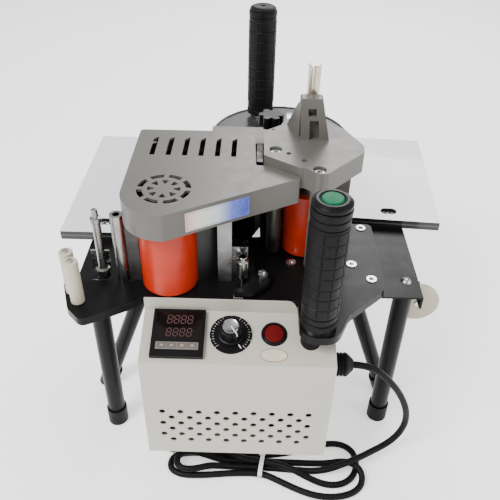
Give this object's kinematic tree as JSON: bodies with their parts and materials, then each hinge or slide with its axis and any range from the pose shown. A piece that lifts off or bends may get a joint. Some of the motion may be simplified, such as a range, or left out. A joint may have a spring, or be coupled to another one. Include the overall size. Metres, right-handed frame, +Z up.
{
  "type": "edge banding machine",
  "caption": "Tabletop edge banding machine on four tube legs, with twin grips, orange rollers, glue pot and a cream control box",
  "frame": {"origin": "centre of the bounding box's underside, where the feet stand", "axes": "+X to the operator's right, +Y from the operator to the tape tray, +Z up"},
  "size_m": [0.422, 0.4753, 0.393],
  "materials": {
    "black_paint": "satin",
    "base_alloy": "satin",
    "black_rubber": "matte",
    "white_laminate": "satin",
    "zinc_steel": "satin",
    "cream_paint": "satin",
    "black_plastic": "matte",
    "display_window": "gloss",
    "key_rubber": "matte",
    "red_plastic": "gloss",
    "green_plastic": "gloss",
    "bright_steel": "polished",
    "motor_steel": "satin",
    "orange_rubber": "satin",
    "hub_alloy": "satin",
    "glue_steel": "satin",
    "grey_casting": "satin",
    "pot_casting": "satin",
    "cream_plastic": "satin",
    "black_tray": "satin",
    "white_tie": "matte"
  },
  "bodies": {
    "base": {"table_plate": "black_paint", "front_legs": "black_paint", "rear_legs": "black_paint", "motor_bracket": "black_paint", "base_plate": "base_alloy", "bearing_plate": "base_alloy", "leg_caps": "black_rubber", "handle_grips": "black_rubber", "switch_bush": "black_rubber", "cable_gland": "black_rubber", "mains_cord": "black_rubber", "cord_hank": "black_rubber", "mains_plug": "black_rubber", "wing_panel_left": "white_laminate", "wing_panel_right": "white_laminate", "screws": "zinc_steel", "plated_brackets": "zinc_steel", "guide_plates": "zinc_steel", "box_shell": "cream_paint", "box_back": "cream_paint", "controller_case": "black_plastic", "dial_plate": "black_plastic", "power_switch": "black_plastic", "start_switch": "black_plastic", "controller_window": "display_window", "handle_cores": "bright_steel", "roller_pins": "bright_steel", "guide_posts": "bright_steel", "heater_cartridges": "bright_steel", "drive_motor": "motor_steel", "transformer": "motor_steel", "cover_columns": "hub_alloy", "vented_cover": "grey_casting", "pot_lid": "grey_casting", "clamp_bracket": "grey_casting", "rear_housing": "grey_casting", "lid_pillars": "grey_casting", "glue_pot": "pot_casting", "tape_tray": "black_tray", "cord_tie": "white_tie"},
    "drive": {"drive_shaft": "bright_steel", "drive_roller": "orange_rubber"},
    "pinion": {"motor_pinion": "bright_steel"},
    "press": {"press_hub": "hub_alloy", "press_roller": "orange_rubber"},
    "glue": {"glue_roller": "glue_steel"},
    "guide_a": {"guide_roller_front": "cream_plastic"},
    "guide_b": {"guide_roller_rear": "cream_plastic"},
    "reel": {"reel_disc": "cream_plastic"},
    "speed": {"speed_knob": "black_plastic"},
    "power": {"power_rocker": "red_plastic"},
    "start": {"start_rocker": "green_plastic"},
    "key_1": {"controller_key_1": "key_rubber"},
    "key_2": {"controller_key_2": "key_rubber"},
    "key_3": {"controller_key_3": "key_rubber"},
    "key_4": {"controller_key_4": "key_rubber"},
    "star": {"star_knob": "black_plastic"},
    "shaft": {"lift_shaft": "bright_steel"},
    "lever": {"cutter_lever": "black_plastic"},
    "adjuster": {"spring_adjuster": "bright_steel"}
  },
  "joints": [
    {"name": "drive_roller_spin", "type": "hinge", "parent": "base", "child": "drive", "pos_m": [-0.083, -0.148, 0.216], "axis": [0, 0, 1], "continuous": true},
    {"name": "motor_spin", "type": "hinge", "parent": "base", "child": "pinion", "pos_m": [-0.06172, -0.14025, 0.2], "axis": [0, 0, 1], "continuous": true},
    {"name": "press_roller_spin", "type": "hinge", "parent": "base", "child": "press", "pos_m": [0.0465, -0.087, 0.216], "axis": [0, 0, 1], "continuous": true},
    {"name": "glue_roller_spin", "type": "hinge", "parent": "base", "child": "glue", "pos_m": [0.0155, -0.097, 0.216], "axis": [0, 0, 1], "continuous": true},
    {"name": "guide_front_spin", "type": "hinge", "parent": "base", "child": "guide_a", "pos_m": [-0.164, -0.1825, 0.216], "axis": [0, 0, 1], "continuous": true},
    {"name": "guide_rear_spin", "type": "hinge", "parent": "base", "child": "guide_b", "pos_m": [-0.1718, -0.169, 0.216], "axis": [0, 0, 1], "continuous": true},
    {"name": "reel_disc_spin", "type": "hinge", "parent": "base", "child": "reel", "pos_m": [0.168, -0.118, 0.169], "axis": [0, 1, 0], "continuous": true},
    {"name": "speed_knob_turn", "type": "hinge", "parent": "base", "child": "speed", "pos_m": [-0.0229, -0.19847, 0.19427], "axis": [0, -0.309, 0.9511], "range_deg": [-135, 135]},
    {"name": "power_rocker_tilt", "type": "hinge", "parent": "base", "child": "power", "pos_m": [0.0167, -0.19704, 0.19473], "axis": [1, 0, 0], "range_deg": [-6, 6]},
    {"name": "start_rocker_tilt", "type": "hinge", "parent": "base", "child": "start", "pos_m": [0.055, -0.203, 0.346], "axis": [1, 0, 0], "range_deg": [-6, 6]},
    {"name": "key_1_press", "type": "slide", "parent": "base", "child": "key_1", "axis": [0, 0.309, -0.9511], "range_m": [0, 0.0008], "stiffness_N_per_m": 400},
    {"name": "key_2_press", "type": "slide", "parent": "base", "child": "key_2", "axis": [0, 0.309, -0.9511], "range_m": [0, 0.0008], "stiffness_N_per_m": 400},
    {"name": "key_3_press", "type": "slide", "parent": "base", "child": "key_3", "axis": [0, 0.309, -0.9511], "range_m": [0, 0.0008], "stiffness_N_per_m": 400},
    {"name": "key_4_press", "type": "slide", "parent": "base", "child": "key_4", "axis": [0, 0.309, -0.9511], "range_m": [0, 0.0008], "stiffness_N_per_m": 400},
    {"name": "star_knob_turn", "type": "hinge", "parent": "base", "child": "star", "pos_m": [0.0103, -0.012, 0.315], "axis": [0, 0, 1], "continuous": true},
    {"name": "lift_shaft_slide", "type": "slide", "parent": "base", "child": "shaft", "axis": [0, 0, 1], "range_m": [0, 0.015]},
    {"name": "cutter_lever_swing", "type": "hinge", "parent": "base", "child": "lever", "pos_m": [0.005, -0.149, 0.22], "axis": [0, 0, 1], "range_deg": [-15, 8]},
    {"name": "spring_adjuster_turn", "type": "hinge", "parent": "base", "child": "adjuster", "pos_m": [-0.014, -0.15, 0.216], "axis": [0, 0, 1], "continuous": true}
  ],
  "couplings": [
    {"joint": "motor_spin", "follows": "drive_roller_spin", "ratio": -2}
  ]
}
